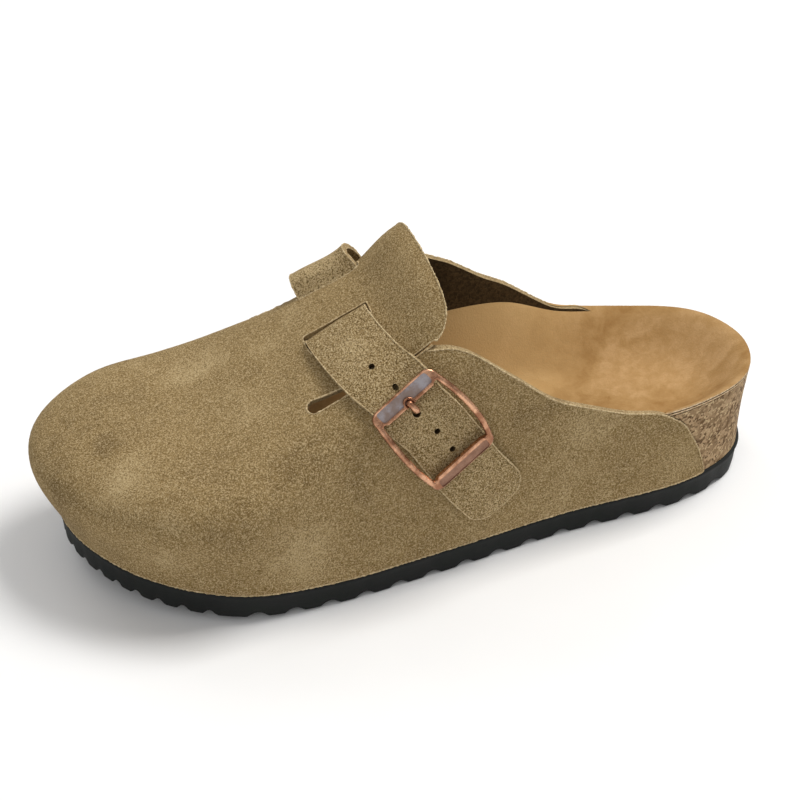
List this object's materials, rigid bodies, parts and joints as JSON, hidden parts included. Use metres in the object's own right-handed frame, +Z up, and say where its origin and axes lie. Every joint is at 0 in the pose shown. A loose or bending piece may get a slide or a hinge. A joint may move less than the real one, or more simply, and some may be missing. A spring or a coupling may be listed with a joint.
{
  "type": "slipper clog",
  "caption": "Closed-toe, open-heel suede clog with a tongue, a buckled instep strap threaded through slots, a cork footbed with a suede insole and a lugged outsole",
  "frame": {"origin": "On the floor plane, in the middle of a flat lug of the outsole, half way along the shoe", "axes": "+X points to the heel, along the shoe, -Y to the outer side of the left foot, and +Z up"},
  "size_m": [0.2742, 0.1028, 0.1131],
  "materials": {
    "outsole": "matte near-black EVA foam",
    "cork": "pressed cork with dark and light granules",
    "footbed_suede": "tan suede with a soft nap",
    "suede": "taupe suede with a brushed nap",
    "strap_suede": "taupe suede with a brushed nap and cut edges",
    "copper": "antique copper plating, satin"
  },
  "bodies": {
    "root": {"outsole": "outsole", "cork_footbed": "cork", "insole": "footbed_suede", "upper": "suede", "strap": "strap_suede", "buckle_frame": "copper", "buckle_prong": "copper"}
  },
  "joints": []
}
